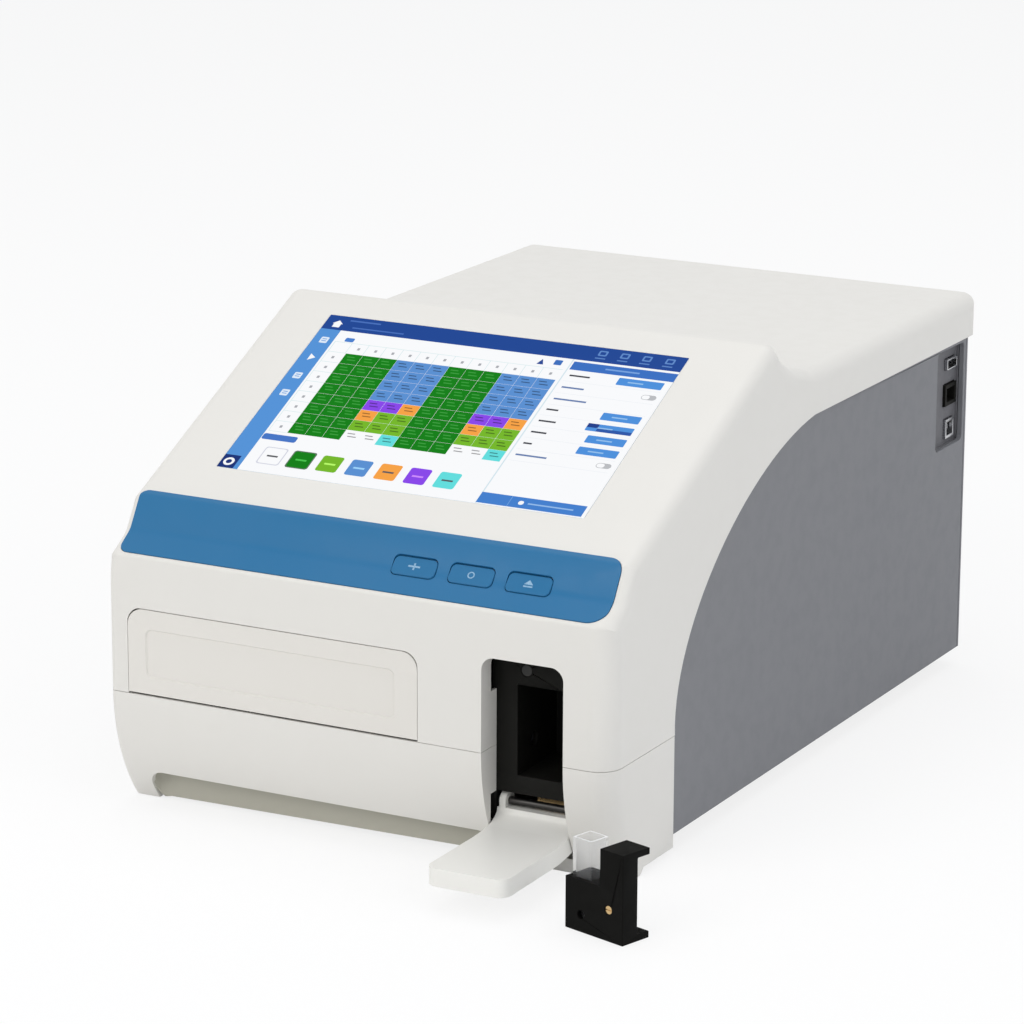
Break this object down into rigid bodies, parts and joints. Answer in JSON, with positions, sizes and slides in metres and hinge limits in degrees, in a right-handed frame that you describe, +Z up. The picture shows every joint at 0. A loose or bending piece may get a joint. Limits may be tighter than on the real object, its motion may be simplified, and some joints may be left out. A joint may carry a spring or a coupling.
{
  "type": "microplate reader",
  "caption": "Benchtop microplate reader with sloping touch-screen console, flap for a motorised plate carrier, open cuvette port door and a loose cuvette holder.",
  "frame": {"origin": "on the bench, at the centre of the instrument's footprint", "axes": "+X to the instrument's right as seen from the front, +Y to its rear, +Z up"},
  "size_m": [0.338, 0.5281, 0.2453],
  "materials": {
    "white_shell": "fine satin grain",
    "door_white": "fine satin grain",
    "grey_panel": "fine satin grain",
    "blue_strip": "satin",
    "blue_key": "satin",
    "screen_glass": "gloss",
    "black_plastic": "matte",
    "dark_plastic": "matte",
    "tray_steel": "powder coat",
    "dark_metal": "satin",
    "bright_steel": "ground",
    "plain_aluminium": "satin",
    "anodised_aluminium": "black anodised",
    "bronze": "turned",
    "spring_metal": "rolled",
    "circuit_board": "solder mask",
    "foot_rubber": "matte",
    "belt_rubber": "matte",
    "optical_glass": "polished",
    "clear_cuvette": "polished",
    "mirror_grating": "ruled"
  },
  "bodies": {
    "instrument": {"base_tray": "tray_steel", "rubber_feet": "foot_rubber", "front_shell": "white_shell", "upper_housing": "white_shell", "left_side_panel": "grey_panel", "right_side_panel": "grey_panel", "rear_panel": "grey_panel", "key_strip": "blue_strip", "key_board": "circuit_board", "touch_glass": "screen_glass", "display_module": "dark_metal", "display_bracket": "bright_steel", "plate_door_pin": "bright_steel", "cuvette_port_liner": "black_plastic", "door_magnet": "dark_metal", "door_catch_spring": "spring_metal", "cuvette_light_block": "anodised_aluminium", "cuvette_detector": "anodised_aluminium", "cuvette_door_pin": "bright_steel", "interface_tub": "dark_plastic", "usb_a_port": "bright_steel", "ethernet_port": "black_plastic", "usb_b_port": "bright_steel", "interface_board": "circuit_board", "power_inlet": "black_plastic", "power_switch_housing": "black_plastic", "fan_frame": "black_plastic", "fan_guard": "bright_steel", "chassis_plate": "plain_aluminium", "carrier_rails": "bright_steel", "rail_blocks": "dark_metal", "stepper_motors": "dark_metal", "idler_bracket": "bright_steel", "drive_belt": "belt_rubber", "head_brackets": "plain_aluminium", "head_rails": "bright_steel", "optics_shelf": "plain_aluminium", "monochromator": "anodised_aluminium", "flash_lamp": "dark_metal", "main_board": "circuit_board", "power_supply": "bright_steel"},
    "left_key": {"key_left": "blue_key"},
    "middle_key": {"key_middle": "blue_key"},
    "right_key": {"key_right": "blue_key"},
    "plate_flap": {"plate_door": "door_white"},
    "port_door": {"cuvette_door": "door_white"},
    "switch_rocker": {"power_rocker": "black_plastic"},
    "fan_wheel": {"fan_rotor": "black_plastic"},
    "carrier": {"plate_carrier": "anodised_aluminium", "carrier_bearings": "bronze", "plate_clamp": "bright_steel"},
    "belt_drive_wheel": {"drive_pulley": "plain_aluminium"},
    "belt_idler_wheel": {"idler_pulley": "plain_aluminium"},
    "reading_head": {"optical_head": "anodised_aluminium", "head_lens": "optical_glass"},
    "head_screw": {"lead_screw": "bright_steel"},
    "grating_turret": {"grating": "mirror_grating"},
    "holder": {"holder_body": "black_plastic", "holder_screw": "spring_metal"},
    "cuvette_cell": {"cuvette": "clear_cuvette"}
  },
  "joints": [
    {"name": "carrier_travel", "type": "slide", "parent": "instrument", "child": "carrier", "axis": [0, -1, 0], "range_m": [0, 0.25]},
    {"name": "flap_swing", "type": "hinge", "parent": "instrument", "child": "plate_flap", "pos_m": [-0.0491, -0.2321, 0.103], "axis": [-1, 0, 0], "range_deg": [0, 88.2]},
    {"name": "port_door_swing", "type": "hinge", "parent": "instrument", "child": "port_door", "pos_m": [0.0978, -0.2133, 0.034], "axis": [-1, 0, 0], "range_deg": [0, 90]},
    {"name": "left_key_press", "type": "slide", "parent": "instrument", "child": "left_key", "axis": [0, 0.7071, -0.7071], "range_m": [0, 0.0012], "stiffness_N_per_m": 900},
    {"name": "middle_key_press", "type": "slide", "parent": "instrument", "child": "middle_key", "axis": [0, 0.7071, -0.7071], "range_m": [0, 0.0012], "stiffness_N_per_m": 900},
    {"name": "right_key_press", "type": "slide", "parent": "instrument", "child": "right_key", "axis": [0, 0.7071, -0.7071], "range_m": [0, 0.0012], "stiffness_N_per_m": 900},
    {"name": "rocker_tilt", "type": "hinge", "parent": "instrument", "child": "switch_rocker", "pos_m": [0.0608, 0.2211, 0.045], "axis": [0, 0, 1], "range_deg": [0, 16]},
    {"name": "fan_spin", "type": "hinge", "parent": "instrument", "child": "fan_wheel", "pos_m": [-0.0678, 0.2107, 0.112], "axis": [0, 1, 0], "continuous": true},
    {"name": "drive_wheel_spin", "type": "hinge", "parent": "instrument", "child": "belt_drive_wheel", "pos_m": [-0.0901, 0.1637, 0.052], "axis": [1, 0, 0], "range_deg": [0, 2050]},
    {"name": "idler_wheel_spin", "type": "hinge", "parent": "instrument", "child": "belt_idler_wheel", "pos_m": [-0.0901, -0.2103, 0.052], "axis": [1, 0, 0], "range_deg": [0, 2050]},
    {"name": "head_travel", "type": "slide", "parent": "instrument", "child": "reading_head", "axis": [1, 0, 0], "range_m": [-0.05, 0.05]},
    {"name": "head_screw_spin", "type": "hinge", "parent": "instrument", "child": "head_screw", "pos_m": [-0.0491, -0.1103, 0.1065], "axis": [1, 0, 0], "range_deg": [-3605, 3605]},
    {"name": "grating_turn", "type": "hinge", "parent": "instrument", "child": "grating_turret", "pos_m": [0.1059, -0.0503, 0.1], "axis": [0, 0, 1], "range_deg": [-20, 20]},
    {"name": "holder_lift", "type": "slide", "parent": "instrument", "child": "holder", "axis": [0, 0, 1], "range_m": [0, 0.1]},
    {"name": "cuvette_lift", "type": "slide", "parent": "holder", "child": "cuvette_cell", "axis": [0, 0, 1], "range_m": [0, 0.05]}
  ],
  "couplings": [
    {"joint": "flap_swing", "follows": "carrier_travel", "rad_per_m": 6.1436},
    {"joint": "drive_wheel_spin", "follows": "carrier_travel", "rad_per_m": 142.86},
    {"joint": "idler_wheel_spin", "follows": "carrier_travel", "rad_per_m": 142.86},
    {"joint": "head_screw_spin", "follows": "head_travel", "rad_per_m": 1256.6}
  ]
}
